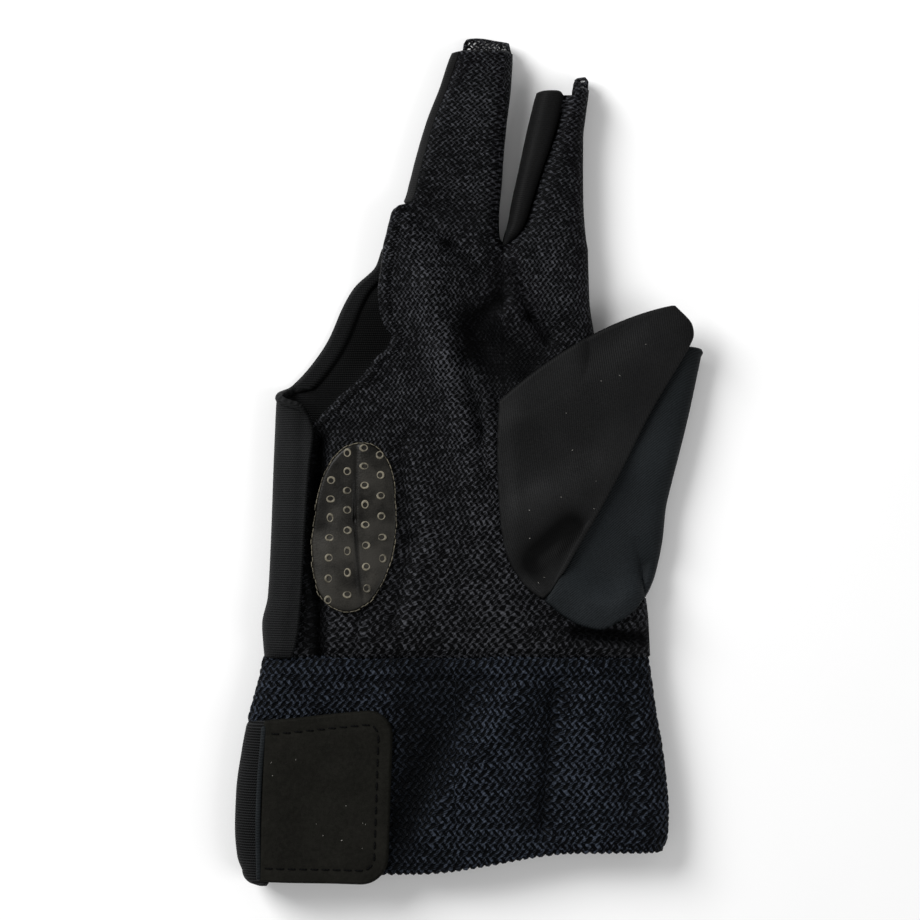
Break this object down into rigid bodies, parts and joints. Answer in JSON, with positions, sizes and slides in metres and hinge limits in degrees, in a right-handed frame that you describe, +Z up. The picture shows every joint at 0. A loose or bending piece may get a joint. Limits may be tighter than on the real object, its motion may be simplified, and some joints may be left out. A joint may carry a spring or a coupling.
{
  "type": "billiard glove",
  "caption": "Black billiard glove lying flat with its palm up: open sleeves for thumb, index and middle finger, knit cuff, closure tab and a studded palm pad.",
  "frame": {"origin": "middle of the footprint's box, on the table that the glove lies on", "axes": "+X across the hand towards the thumb, +Y from the cuff to the fingers, +Z up from the table, through the back of the glove to its palm"},
  "size_m": [0.1222, 0.2192, 0.014],
  "materials": {
    "mesh_knit": "fine black mesh knit with staggered small holes",
    "cuff_knit": "coarse black knit with a zigzag of raised stitches",
    "lycra": "smooth black stretch cloth with fine ribs and a soft sheen",
    "tab_felt": "matt black suede-like tab, stitched round its edge",
    "pad_leather": "semi-gloss dark leatherette with raised pale rings"
  },
  "bodies": {
    "root": {"palm_knit": "mesh_knit", "back_panel": "lycra", "index_back": "mesh_knit", "middle_back": "mesh_knit", "index_gusset": "lycra", "middle_gusset": "lycra", "thumb_front": "lycra", "thumb_back": "lycra", "cuff_front": "cuff_knit", "cuff_back": "cuff_knit", "closure_strap": "lycra", "strap_tab": "tab_felt", "palm_pad": "pad_leather"}
  },
  "joints": []
}
